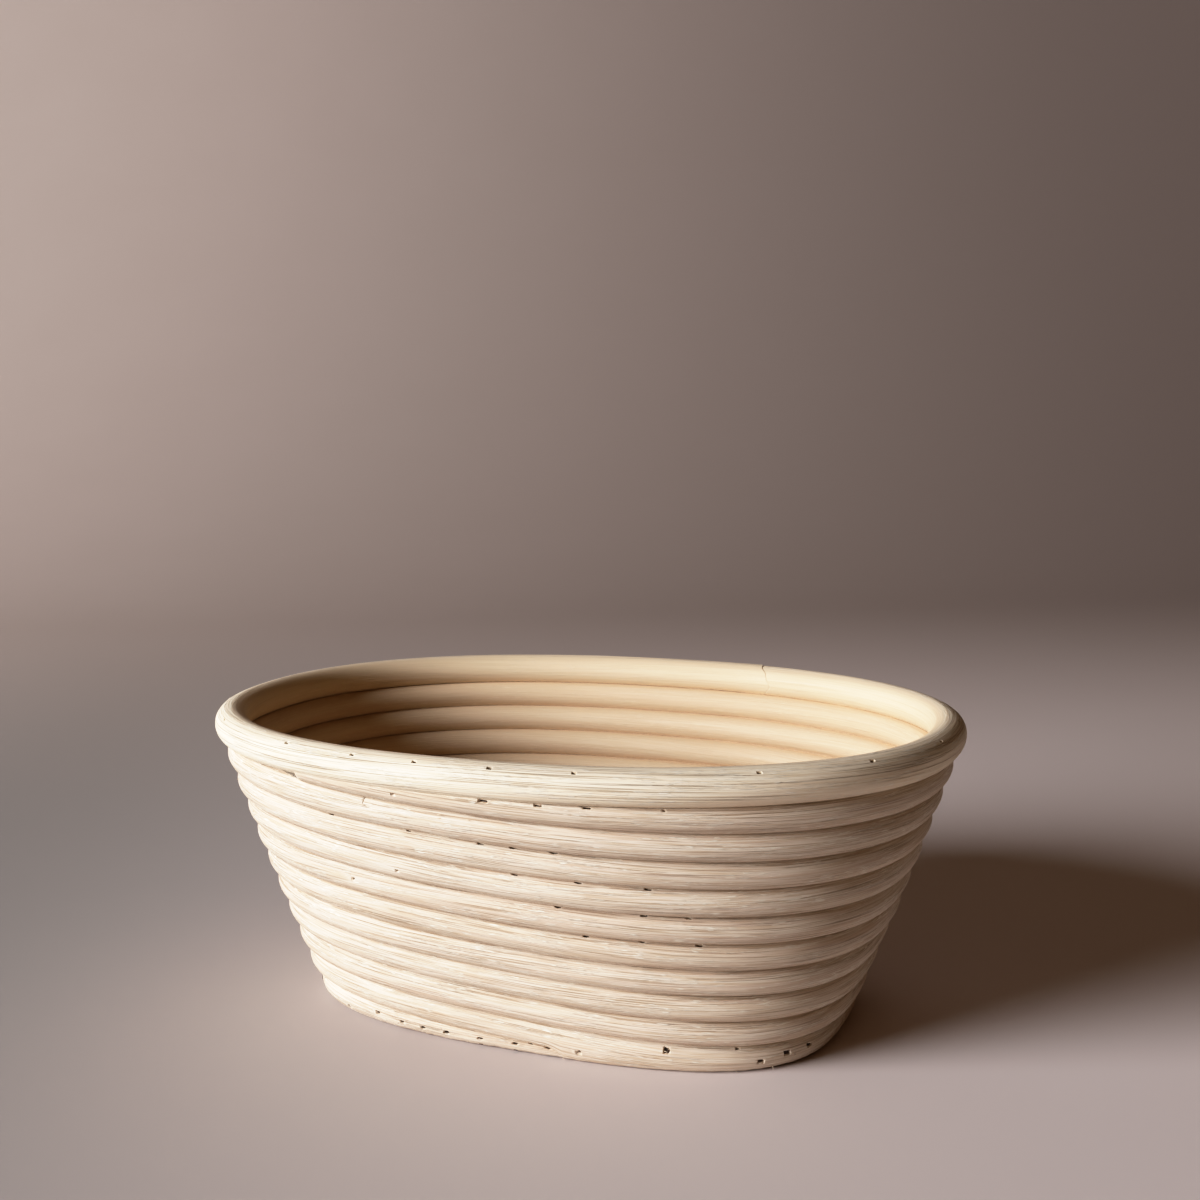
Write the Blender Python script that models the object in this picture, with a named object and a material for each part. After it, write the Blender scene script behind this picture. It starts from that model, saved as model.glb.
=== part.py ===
"""Oval proofing basket of peeled rattan cane.

A round cane is wound upwards round an oval that widens towards the top. Each
pass lies level for most of the way round and climbs to the next level along
the front. The wall is three lengths of cane, spliced with oblique scarfs. A
thicker cane closes the top as the rim, and straight rods lie side by side as
the floor inside the lowest pass. Small flat brads hold it all together.

Metres, +Z up. Origin: on the table, under the middle of the oval. +X runs
along the basket's length, and the front is the -Y side.
"""

import math

import bmesh
import bpy
import numpy as np
from mathutils import Matrix, Vector

# ---------------------------------------------------------------- dimensions

RIM_HALF_LENGTH = 0.0994      # of the rim cane's centre line
RIM_HALF_WIDTH = 0.0676
RIM_SQUARENESS = 2.19         # exponent of the oval: 2 is an ellipse
RIM_CANE_RADIUS = 0.00457
RIM_HEIGHT = 0.0774           # of the rim cane's centre line
RIM_SIDES = 10                # flat on top and underneath

BASE_HALF_LENGTH = 0.0712     # of the lowest pass's centre line
BASE_HALF_WIDTH = 0.0405
BASE_SQUARENESS = 2.94

PASS_RISE = 0.00731           # from one pass to the next
CANE_HALF_HEIGHT = 0.0035     # over the flats of the cane's eight sides
CANE_RADIUS = CANE_HALF_HEIGHT / math.cos(math.pi / 8)
WALL_BULGE = 0.0009           # outward, at mid height
PASSES = 10

CLIMB_FROM = 0.155            # fractions of the way round, from the front's
CLIMB_TO = -0.180             # middle, + towards +X: each pass climbs between
CLIMB_SOFTNESS = 0.47         # 0: straight climb, 1: eased at both ends

WALL_START = 0.105            # in turns from CLIMB_FROM, going round to -X
SPLICE_LOW = 4.66             # at the back
SPLICE_HIGH = 9.185           # at the front
WALL_END = 10.238
WALL_SCARF = 0.011            # half length of a wall scarf
RIM_JOINT = 0.44              # fraction of the way round: at the back
RIM_SCARF = 0.0045            # half length of the rim's oblique butt

STATIONS = 48                 # sections in one turn
GAP = 0.0003                  # between pieces that touch

ROD_COUNT = 10
ROD_PITCH = 0.00726
ROD_HALF_WIDTH = 0.00346
ROD_HALF_HEIGHT = 0.0034
ROD_HEIGHT = 0.0037           # of a rod's axis

BRAD_WIDTH = 0.0014           # along the cane
BRAD_THICKNESS = 0.0009
BRAD_SUNK = 0.0005            # head below the surface
BRAD_PAST = 0.0016            # past the middle of the cane it ends in
RIM_BRADS = (-0.092, -0.050, -0.017, 0.019, 0.056, 0.131, 0.181,  # front
             0.228, 0.315, 0.405, 0.475, 0.600, 0.735, 0.840)     # and back
RIM_BRAD_ANGLE = math.radians(53)    # above the cane's outermost line
WALL_BRADS = (5.038, 5.097, 6.111, 7.066, 8.147, 8.233, 10.113,   # front
              2.620, 3.550, 6.620, 8.600)                         # and back
WALL_BRAD_ANGLE = math.radians(47)
FLOOR_BRAD_LENGTH = 0.0135
SIDE_BRADS = (-0.106, 0.108, 0.395, -0.395)  # into the two outer rods

CANE_COLOUR = (0.80, 0.68, 0.52)
RIM_COLOUR = (0.82, 0.71, 0.55)
ROD_COLOUR = (0.77, 0.62, 0.45)
BRAD_COLOUR = (0.10, 0.085, 0.07)


# ------------------------------------------------------------------ the oval

def oval(half_length, half_width, squareness, count=2880):
    """Points of a closed oval, and the fraction of the way round of each:
    0 in the middle of the front, + towards +X, -0.5 and 0.5 at the back."""
    angle = np.linspace(-math.pi, math.pi, count + 1)
    s, c = np.sin(angle), np.cos(angle)
    x = half_length * np.sign(s) * np.abs(s) ** (2 / squareness)
    y = -half_width * np.sign(c) * np.abs(c) ** (2 / squareness)
    way = np.concatenate([[0], np.cumsum(np.hypot(np.diff(x), np.diff(y)))])
    return way / way[-1] - 0.5, x, y


BASE_OVAL = oval(BASE_HALF_LENGTH, BASE_HALF_WIDTH, BASE_SQUARENESS)
RIM_OVAL = oval(RIM_HALF_LENGTH, RIM_HALF_WIDTH, RIM_SQUARENESS)


def on_oval(which, way):
    way = (way + 0.5) % 1.0 - 0.5
    return np.array([np.interp(way, which[0], which[1]),
                     np.interp(way, which[0], which[2])])


def wall_point(way, level):
    """Centre of a pass at this fraction of the way round, and its outward
    horizontal direction. Level 0 lies on the table."""
    t = level * PASS_RISE / (RIM_HEIGHT - CANE_HALF_HEIGHT)

    def flat(w):
        return on_oval(BASE_OVAL, w) * (1 - t) + on_oval(RIM_OVAL, w) * t

    ahead, behind = flat(way + 0.004), flat(way - 0.004)
    along = (ahead - behind) / np.linalg.norm(ahead - behind)
    out = np.array([along[1], -along[0]])
    xy = flat(way) + out * WALL_BULGE * 4 * t * (1 - t)
    return xy, out, CANE_HALF_HEIGHT + level * PASS_RISE


def rim_point(way):
    ahead, behind = on_oval(RIM_OVAL, way + 0.004), on_oval(RIM_OVAL, way - 0.004)
    along = (ahead - behind) / np.linalg.norm(ahead - behind)
    return on_oval(RIM_OVAL, way), np.array([along[1], -along[0]]), RIM_HEIGHT


# ------------------------------------------------------------- the wound wall

def climb(way_from_start):
    """0 to 1 as a pass climbs one level along the front."""
    t = min(max(way_from_start / (CLIMB_FROM - CLIMB_TO), 0.0), 1.0)
    return CLIMB_SOFTNESS * t * t * (3 - 2 * t) + (1 - CLIMB_SOFTNESS) * t


def wall_section(turn):
    """Centre, outward direction, lowest and highest z of the wall cane."""
    way = CLIMB_FROM - turn
    level = math.floor(turn) - 1 + climb(turn - math.floor(turn))
    xy, out, z = wall_point(way, max(level, 0.0))
    low, high = z - CANE_HALF_HEIGHT, z + CANE_HALF_HEIGHT
    if level < 0:                     # the pared wedge that starts the wall
        low, high = 0.0, (level + 1) * PASS_RISE - GAP
    ceiling = RIM_HEIGHT - RIM_CANE_RADIUS * math.cos(math.pi / RIM_SIDES) - GAP
    if level > PASSES - 1:            # and the one that ends it, under the rim
        high = min(high, ceiling)
    return xy, out, low, high


def octagon(radius_out, half_height):
    """Eight corners, counter-clockwise, flat on top and underneath."""
    return [(radius_out * math.cos(math.pi / 8 + k * math.pi / 4),
             half_height * math.sin(math.pi / 8 + k * math.pi / 4)
             / math.cos(math.pi / 8)) for k in range(8)]


def turn_length(turn):
    """Length of one turn of the wall at this height."""
    level = max(math.floor(turn) - 1, 0)
    t = level * PASS_RISE / (RIM_HEIGHT - CANE_HALF_HEIGHT)
    ring = [on_oval(BASE_OVAL, k / 240) * (1 - t) + on_oval(RIM_OVAL, k / 240) * t
            for k in range(241)]
    return sum(np.linalg.norm(b - a) for a, b in zip(ring, ring[1:]))


def skin(name, rings, material):
    """A closed body through a row of rings with equal numbers of corners."""
    mesh = bmesh.new()
    rows = [[mesh.verts.new(p) for p in ring] for ring in rings]
    count = len(rows[0])
    for a, b in zip(rows, rows[1:]):
        for k in range(count):
            n = (k + 1) % count
            mesh.faces.new((a[k], a[n], b[n], b[k]))
    mesh.faces.new(rows[0][::-1])
    mesh.faces.new(rows[-1])
    bmesh.ops.recalc_face_normals(mesh, faces=mesh.faces)
    data = bpy.data.meshes.new(name)
    mesh.to_mesh(data)
    mesh.free()
    data.shade_smooth()
    data.set_sharp_from_angle(angle=math.radians(50))
    item = bpy.data.objects.new(name, data)
    bpy.context.scene.collection.objects.link(item)
    data.materials.append(material)
    return item


def wall_cane(name, start, end, start_scarf, end_scarf, material):
    """One length of the wall, from one turn count to another. A scarfed end
    is cut so that the top of the earlier length lies over the later one."""
    step = 1.0 / STATIONS
    # stations sit at the same places round the oval on every pass
    first = CLIMB_FROM % step
    grid = [k * step + first for k in range(int(end / step) + 2)]
    margin_a = (start_scarf + 0.002) / turn_length(start) if start_scarf else step * 0.4
    margin_b = (end_scarf + 0.002) / turn_length(end) if end_scarf else step * 0.4
    turns = [t for t in grid if start + margin_a < t < end - margin_b]
    shape = octagon(CANE_RADIUS, 1.0)

    def ring(turn, lean):
        points = []
        for out_by, up_by in shape:
            t = turn + lean * up_by
            xy, out, low, high = wall_section(t)
            place = xy + out * out_by
            points.append((place[0], place[1],
                           (low + high) / 2 + up_by * (high - low) / 2))
        return points

    rings = []
    rings.append(ring(start + (GAP / 2) / turn_length(start) * bool(start_scarf),
                      start_scarf / turn_length(start)))
    rings += [ring(t, 0.0) for t in turns]
    rings.append(ring(end - (GAP / 2) / turn_length(end) * bool(end_scarf),
                      end_scarf / turn_length(end)))
    return skin(name, rings, material)


# ------------------------------------------------------------------- finishes

def finish(name, colour, roughness, metallic=0.0):
    material = bpy.data.materials.new(name)
    material.use_nodes = True
    shader = material.node_tree.nodes["Principled BSDF"]
    shader.inputs["Base Color"].default_value = (*colour, 1.0)
    shader.inputs["Roughness"].default_value = roughness
    shader.inputs["Metallic"].default_value = metallic
    return material


# -------------------------------------------------------------------- pieces

def rim_cane(material):
    """The rim: one cane bent round, its ends meeting in an oblique butt."""
    shape = [(RIM_CANE_RADIUS * math.cos(2 * math.pi * k / RIM_SIDES),
              RIM_CANE_RADIUS * math.sin(2 * math.pi * k / RIM_SIDES))
             for k in range(RIM_SIDES)]
    around = 2 * math.pi * math.sqrt((RIM_HALF_LENGTH**2 + RIM_HALF_WIDTH**2) / 2)

    def ring(way, lean):
        points = []
        for out_by, up_by in shape:
            xy, out, z = rim_point(way + lean * out_by / RIM_CANE_RADIUS)
            place = xy + out * out_by
            points.append((place[0], place[1], z + up_by))
        return points

    lean = RIM_SCARF / around
    start = RIM_JOINT + (GAP * 0.8) / around
    end = RIM_JOINT + 1 - (GAP * 0.8) / around
    step = 1.0 / STATIONS
    ways = [k * step for k in range(3 * STATIONS)
            if start + lean + 0.004 < k * step < end - lean - 0.004]
    rings = [ring(start, lean)] + [ring(w, 0.0) for w in ways] + [ring(end, lean)]
    return skin("rim_cane", rings, material)


def floor_edge(y):
    """Half length of the floor at this y: the inside of the lowest pass."""
    ways = np.linspace(-0.25, 0.25, 401)
    ring = []
    for way in ways:
        xy, out, _ = wall_point(way, 0.0)
        ring.append(xy - out * (CANE_RADIUS + 1.5 * GAP))
    ring = np.array(ring)
    right = ring[ring[:, 0] >= 0]
    return float(np.interp(-abs(y), right[:, 1], right[:, 0]))


def rod_y(index):
    return (index - (ROD_COUNT - 1) / 2) * ROD_PITCH


def floor_rod(index, material):
    """A straight rod along X, its ends cut to follow the oval."""
    y0 = rod_y(index)
    shape = [(ROD_HALF_WIDTH * math.cos(math.pi / 8 + k * math.pi / 4) / math.cos(math.pi / 8),
              ROD_HALF_HEIGHT * math.sin(math.pi / 8 + k * math.pi / 4) / math.cos(math.pi / 8))
             for k in range(8)]
    rings = []
    for side in (-1, 1):
        rings.append([(side * floor_edge(y0 + across), y0 + across, ROD_HEIGHT + up)
                      for across, up in shape])
    return skin("floor_rod_%02d" % (index + 1), rings, material)


HOLES = []     # one box for each brad's hole, cut out of the canes at the end


def box(corner_a, corner_b):
    """The eight corners of a box, and its faces."""
    (ax, ay, az), (bx, by, bz) = corner_a, corner_b
    corners = [(x, y, z) for x in (ax, bx) for y in (ay, by) for z in (az, bz)]
    faces = [(0, 1, 3, 2), (4, 6, 7, 5), (0, 4, 5, 1), (2, 3, 7, 6), (0, 2, 6, 4), (1, 5, 7, 3)]
    return corners, faces


def brad(name, entry, tip, along, clear, material):
    """A flat brad from its entry on the surface to its tip, and its hole.
    Its width lies along the cane."""
    entry, tip, along = Vector(entry), Vector(tip), Vector(along)
    down = (tip - entry).normalized()
    along = (along - down * along.dot(down)).normalized()
    thick = down.cross(along)
    place = Matrix((along, thick, down)).transposed().to_4x4()
    place.translation = entry
    length = (tip - entry).length
    half = Vector((BRAD_WIDTH / 2, BRAD_THICKNESS / 2, 0))
    corners, faces = box((-half.x, -half.y, BRAD_SUNK), (half.x, half.y, length))
    # the point: the last corners close in to a chisel edge
    corners = [(x * 0.35 if z > length - 1e-6 else x, y, z) for x, y, z in corners]
    mesh = bmesh.new()
    verts = [mesh.verts.new(c) for c in corners]
    for face in faces:
        mesh.faces.new([verts[k] for k in face])
    bmesh.ops.recalc_face_normals(mesh, faces=mesh.faces)
    data = bpy.data.meshes.new(name)
    mesh.to_mesh(data)
    mesh.free()
    data.materials.append(material)
    item = bpy.data.objects.new(name, data)
    item.matrix_world = place
    bpy.context.scene.collection.objects.link(item)
    hole, _ = box((-half.x - GAP, -half.y - GAP, -clear), (half.x + GAP, half.y + GAP, length + GAP))
    HOLES.append([place @ Vector(c) for c in hole])
    return item


def tangent(out):
    return (-out[1], out[0], 0.0)


def rim_brads(material):
    for k, way in enumerate(RIM_BRADS):
        xy, out, z = rim_point(way)
        # the pass straight under the rim at this place
        turn = (CLIMB_FROM - way) % 1.0 + PASSES
        if turn > WALL_END - 0.02:
            turn -= 1.0
        under, _, low, high = wall_section(turn)
        a = RIM_BRAD_ANGLE
        entry = xy + out * RIM_CANE_RADIUS * math.cos(a) * 0.97
        entry = (entry[0], entry[1], z + RIM_CANE_RADIUS * math.sin(a) * 0.97)
        middle = Vector((under[0], under[1], (low + high) / 2))
        tip = middle + (middle - Vector(entry)).normalized() * BRAD_PAST
        brad("rim_brad_%02d" % (k + 1), entry, tip, tangent(out), 0.002, material)


def wall_brads(material):
    for k, turn in enumerate(WALL_BRADS):
        xy, out, low, high = wall_section(turn)
        below, _, low_b, high_b = wall_section(turn - 1.0)
        a = WALL_BRAD_ANGLE
        z = (low + high) / 2
        entry = xy + out * CANE_RADIUS * math.cos(a) * 0.96
        entry = (entry[0], entry[1], z + CANE_RADIUS * math.sin(a) * 0.96)
        middle = Vector((below[0], below[1], (low_b + high_b) / 2))
        tip = middle + (middle - Vector(entry)).normalized() * BRAD_PAST
        brad("wall_brad_%02d" % (k + 1), entry, tip, tangent(out), 0.0006, material)


def lowest_section(way):
    """The pass that lies on the table at this place."""
    turn = (CLIMB_FROM - way) % 1.0
    return wall_section(turn if turn > WALL_START + 0.03 else turn + 1.0)


def floor_brads(material):
    number = 0
    ways = np.linspace(0.0, 0.5, 1001)
    lowest = np.array([wall_point(w, 0.0)[0] for w in ways])
    for index in range(1, ROD_COUNT - 1):
        y = rod_y(index)
        way = float(np.interp(y, lowest[:, 1], ways))
        for side in (1, -1):
            number += 1
            xy, out, low, high = lowest_section(way * side)
            reach = CANE_RADIUS / abs(out[0])
            entry = Vector((xy[0] + side * reach * 0.97, xy[1], (low + high) / 2))
            tip = entry - Vector((side, 0, 0)) * (FLOOR_BRAD_LENGTH + reach - CANE_RADIUS)
            brad("floor_brad_%02d" % number, entry, tip, (0, 1, 0),
                 0.002 + reach - CANE_RADIUS, material)
    for way in SIDE_BRADS:
        number += 1
        xy, out, low, high = lowest_section(way)
        entry = xy + out * CANE_RADIUS * 0.97
        tip = xy - out * (FLOOR_BRAD_LENGTH - CANE_RADIUS)
        z = (low + high) / 2
        brad("floor_brad_%02d" % number, (entry[0], entry[1], z), (tip[0], tip[1], z),
             tangent(out), 0.002, material)


def cut_holes(items):
    """The brads' holes, cut out of every cane that they pass through."""
    mesh = bmesh.new()
    _, faces = box((0, 0, 0), (1, 1, 1))
    for hole in HOLES:
        verts = [mesh.verts.new(c) for c in hole]
        for face in faces:
            mesh.faces.new([verts[k] for k in face])
    bmesh.ops.recalc_face_normals(mesh, faces=mesh.faces)
    data = bpy.data.meshes.new("brad_holes")
    mesh.to_mesh(data)
    mesh.free()
    cutter = bpy.data.objects.new("brad_holes", data)
    cutter.hide_render = True
    cutter.display_type = "WIRE"
    bpy.context.scene.collection.objects.link(cutter)
    for item in items:
        cut = item.modifiers.new("brad_holes", "BOOLEAN")
        cut.operation = "DIFFERENCE"
        cut.object = cutter
        cut.solver = "EXACT"


def main():
    for item in list(bpy.data.objects):
        bpy.data.objects.remove(item, do_unlink=True)
    wall = finish("wall_cane", CANE_COLOUR, 0.62)
    rim = finish("rim_cane", RIM_COLOUR, 0.60)
    rod = finish("floor_rod", ROD_COLOUR, 0.58)
    steel = finish("brad", BRAD_COLOUR, 0.45, 0.8)
    canes = [
        wall_cane("wall_cane_lower", WALL_START, SPLICE_LOW, 0.0, WALL_SCARF, wall),
        wall_cane("wall_cane_middle", SPLICE_LOW, SPLICE_HIGH, WALL_SCARF, WALL_SCARF, wall),
        wall_cane("wall_cane_top", SPLICE_HIGH, WALL_END, WALL_SCARF, 0.0, wall),
        rim_cane(rim),
    ]
    canes += [floor_rod(k, rod) for k in range(ROD_COUNT)]
    rim_brads(steel)
    wall_brads(steel)
    floor_brads(steel)
    cut_holes(canes)


main()
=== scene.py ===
"""The finished look of an oval proofing basket of peeled rattan cane.

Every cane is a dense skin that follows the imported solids: a cane that is round
but not perfect, pressed flat where it touches its neighbours, with lengthwise
fibres and grooves, pared ends, scarfed splices, and torn pits where the brads
went in. Metres, +Z up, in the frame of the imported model.
"""

import math

import bpy
import numpy as np
from mathutils import Matrix, Vector


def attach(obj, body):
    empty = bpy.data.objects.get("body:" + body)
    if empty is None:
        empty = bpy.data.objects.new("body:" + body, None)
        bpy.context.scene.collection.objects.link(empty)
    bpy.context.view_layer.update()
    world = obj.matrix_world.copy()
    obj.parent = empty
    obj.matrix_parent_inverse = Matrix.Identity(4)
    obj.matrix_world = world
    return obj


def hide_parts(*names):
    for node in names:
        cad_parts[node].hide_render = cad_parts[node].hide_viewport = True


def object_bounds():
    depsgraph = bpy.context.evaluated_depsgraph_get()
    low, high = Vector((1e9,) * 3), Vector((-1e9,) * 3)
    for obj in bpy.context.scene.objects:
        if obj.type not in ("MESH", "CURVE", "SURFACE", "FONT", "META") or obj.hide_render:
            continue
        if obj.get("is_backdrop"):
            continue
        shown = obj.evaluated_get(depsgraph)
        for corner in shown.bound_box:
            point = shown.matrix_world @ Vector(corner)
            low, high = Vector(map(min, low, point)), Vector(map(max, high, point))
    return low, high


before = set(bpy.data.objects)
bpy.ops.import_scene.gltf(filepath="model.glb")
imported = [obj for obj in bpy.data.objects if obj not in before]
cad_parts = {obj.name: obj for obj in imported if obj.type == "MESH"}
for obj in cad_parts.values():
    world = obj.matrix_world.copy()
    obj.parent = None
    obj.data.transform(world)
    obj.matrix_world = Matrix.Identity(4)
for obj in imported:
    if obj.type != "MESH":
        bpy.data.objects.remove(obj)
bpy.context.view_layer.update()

MM = 0.001

# ---------------------------------------------------------------- the basket

RIM_HALF_LENGTH, RIM_HALF_WIDTH, RIM_SQUARENESS = 0.0994, 0.0676, 2.19
RIM_HEIGHT, RIM_RADIUS = 0.0774, 0.00457
BASE_HALF_LENGTH, BASE_HALF_WIDTH, BASE_SQUARENESS = 0.0712, 0.0405, 2.94
PASS_RISE, PASSES, WALL_BULGE = 0.00731, 10, 0.0009
CANE_RADIUS, CANE_FLAT, CANE_REST = 0.00389, 0.00385, 0.00383
CLIMB_FROM, CLIMB_TO, CLIMB_SOFTNESS = 0.1545, -0.195, 0.47
WALL_START, SPLICE_LOW, SPLICE_HIGH, WALL_END = 0.105, 4.66, 9.185, 10.238
WALL_SCARF = 0.011
RIM_JOINT, RIM_SCARF = 0.44, 0.0045
ROD_COUNT, ROD_PITCH, ROD_HEIGHT = 10, 0.00726, 0.0037
ROD_HALF_WIDTH, ROD_HALF_HEIGHT = 0.00360, 0.00356


def ease(t):
    return t * t * (3 - 2 * t)


def ramp(x, low, high):
    return ease(np.clip((x - low) / (high - low), 0.0, 1.0))


def drift(x, seed):
    """Smooth noise along a line, -1 to 1, one cell per unit."""
    table = np.random.default_rng(seed).random(512) * 2 - 1
    i = np.floor(x).astype(int)
    f = ease(x - i)
    return table[i % 512] * (1 - f) + table[(i + 1) % 512] * f


def grain(along, around, seed, rows):
    """Smooth noise on the skin of a cane, -1 to 1: along in cells, around in
    turns. Each row of cells is a fibre with a phase of its own."""
    rng = np.random.default_rng(seed)
    table = rng.random((1024, rows)) * 2 - 1
    phase = rng.random(rows) * 900
    a = (around % 1.0) * rows
    j = np.floor(a).astype(int)
    g = ease(a - j)

    def fibre(row):
        x = along + phase[row]
        i = np.floor(x).astype(int)
        f = ease(x - i)
        return table[i % 1024, row] * (1 - f) + table[(i + 1) % 1024, row] * f

    return fibre(j % rows) * (1 - g) + fibre((j + 1) % rows) * g


def oval(half_length, half_width, squareness, count=11520):
    angle = np.linspace(-math.pi, math.pi, count + 1)
    s, c = np.sin(angle), np.cos(angle)
    x = half_length * np.sign(s) * np.abs(s) ** (2 / squareness)
    y = -half_width * np.sign(c) * np.abs(c) ** (2 / squareness)
    way = np.concatenate([[0], np.cumsum(np.hypot(np.diff(x), np.diff(y)))])
    return way / way[-1] - 0.5, x, y


BASE_OVAL = oval(BASE_HALF_LENGTH, BASE_HALF_WIDTH, BASE_SQUARENESS)
RIM_OVAL = oval(RIM_HALF_LENGTH, RIM_HALF_WIDTH, RIM_SQUARENESS)


def on_oval(which, way):
    way = (way + 0.5) % 1.0 - 0.5
    return np.stack([np.interp(way, which[0], which[1]),
                     np.interp(way, which[0], which[2])], -1)


def outward(ahead, behind):
    along = ahead - behind
    along = along / np.linalg.norm(along, axis=-1, keepdims=True)
    return np.stack([along[..., 1], -along[..., 0]], -1)


def wall_path(turn):
    """Centre, outward direction, height and level of the wall cane."""
    way = CLIMB_FROM - turn
    part = np.clip((turn - np.floor(turn)) / (CLIMB_FROM - CLIMB_TO), 0.0, 1.0)
    up = CLIMB_SOFTNESS * ease(part) + (1 - CLIMB_SOFTNESS) * part
    level = np.floor(turn) - 1 + up
    t = (np.maximum(level, 0.0) * PASS_RISE / (RIM_HEIGHT - CANE_REST))[..., None]

    def flat(w):
        return on_oval(BASE_OVAL, w) * (1 - t) + on_oval(RIM_OVAL, w) * t

    out = outward(flat(way + 0.004), flat(way - 0.004))
    xy = flat(way) + out * WALL_BULGE * 4 * t * (1 - t)
    # the passes are never laid quite evenly
    xy = xy + out * (0.00013 * drift(turn * 9.0, 11))[..., None]
    z = CANE_REST + level * PASS_RISE + 0.00009 * drift(turn * 8.0, 12) * ramp(level, 0.2, 1.2)
    return xy, out, z, level


def rim_path(way):
    out = outward(on_oval(RIM_OVAL, way + 0.004), on_oval(RIM_OVAL, way - 0.004))
    xy = on_oval(RIM_OVAL, way) + out * (0.00012 * drift(way * 11.0 + 40, 13))[..., None]
    z = RIM_HEIGHT + 0.00012 * drift(way * 9.0 + 40, 14)
    return xy, out, z


# ------------------------------------------------------------ skins of canes

def ring_angles(outer, inner, press):
    """Angles round a section, from the outermost line towards the top: closest
    together on the side that is seen from outside."""
    top, low = math.radians(69.7), math.radians(69.7 - 180)
    half = math.radians(13)
    shelf = math.radians(37)
    parts = [np.linspace(low + half, shelf, outer - 9, endpoint=False),
             np.linspace(shelf, top - half, 9, endpoint=False),
             np.linspace(top - half, top + half, press, endpoint=False),
             np.linspace(top + half, low + 2 * math.pi - half, inner, endpoint=False),
             np.linspace(low + 2 * math.pi - half, low + 2 * math.pi + half, press, endpoint=False)]
    return np.concatenate(parts)


def stations(first, last, step, places):
    """Places along a cane in mm: even steps, and closer ones at each brad."""
    count = max(int(math.ceil((last - first) / step)), 2)
    even = np.linspace(first, last, count + 1)
    near = np.array([-1.9, -1.25, -0.92, -0.66, -0.40, -0.13,
                     0.13, 0.40, 0.66, 0.92, 1.25, 1.9])
    extra = []
    for p in places:
        even = even[(np.abs(even - p) > 2.3) | (even == first) | (even == last)]
        extra.append(p + near)
    every = np.concatenate([even] + extra)
    every = np.unique(np.round(every[(every >= first) & (every <= last)], 4))
    keep = np.concatenate([[True], np.diff(every) > 0.07])
    every = every[keep]
    every[-1] = last
    return every


def dig(height, pit, torn, along, angle, radius, mark):
    """Sinks a brad's pit into a skin and lifts torn fibres beside it. All in
    mm; mark is (place along, angle, half length, half height, depth, seed)."""
    place, at, half, high, depth, seed = mark
    rows = np.where(np.abs(along - place) < 6.0)[0]
    if not len(rows):
        return
    rng = np.random.default_rng(seed)
    ds = (along[rows] - place)[:, None]
    dh = ((angle - at + math.pi) % (2 * math.pi) - math.pi)[None, :] * radius
    skew = (rng.random() - 0.5) * 0.8
    taper = 1.0 - 0.55 * rng.random() * np.clip(ds / half * rng.choice((-1, 1)), 0, 1)
    turns = (angle / (2 * math.pi))[None, :] + 0 * ds
    deep = np.minimum(half - np.abs(ds + skew * dh), high * taper - np.abs(dh))
    deep = deep + 0.30 * high * grain(ds / 0.45 + seed, turns, seed + 6, 60)
    box = ramp(deep, -0.12, 0.12)
    side = rng.choice((-1, 1))
    past = side * ds - half
    tongue = ramp(past, -0.1, 0.25) * ramp(-past, -1.5, -0.2) * ramp(high * 1.1 - np.abs(dh), -0.2, 0.2)
    edge = ramp(half + 0.30 - np.abs(ds), -0.2, 0.3) * ramp(high + 0.25 - np.abs(dh), -0.2, 0.3)
    splinter = 0.5 + 0.5 * grain(ds / 0.9 + seed, turns, seed + 5, 70)
    lift = (0.16 * tongue * splinter + 0.05 * edge) * min(high / 0.4, 1.0)
    height[rows] = (height[rows] + lift) * (1 - box) - depth * box
    pit[rows] = np.maximum(pit[rows], np.clip(deep, -1, 1))
    torn[rows] = np.maximum(torn[rows], np.clip(tongue * (0.2 + splinter) + 0.3 * edge, 0, 1) * (1 - box))


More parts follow.
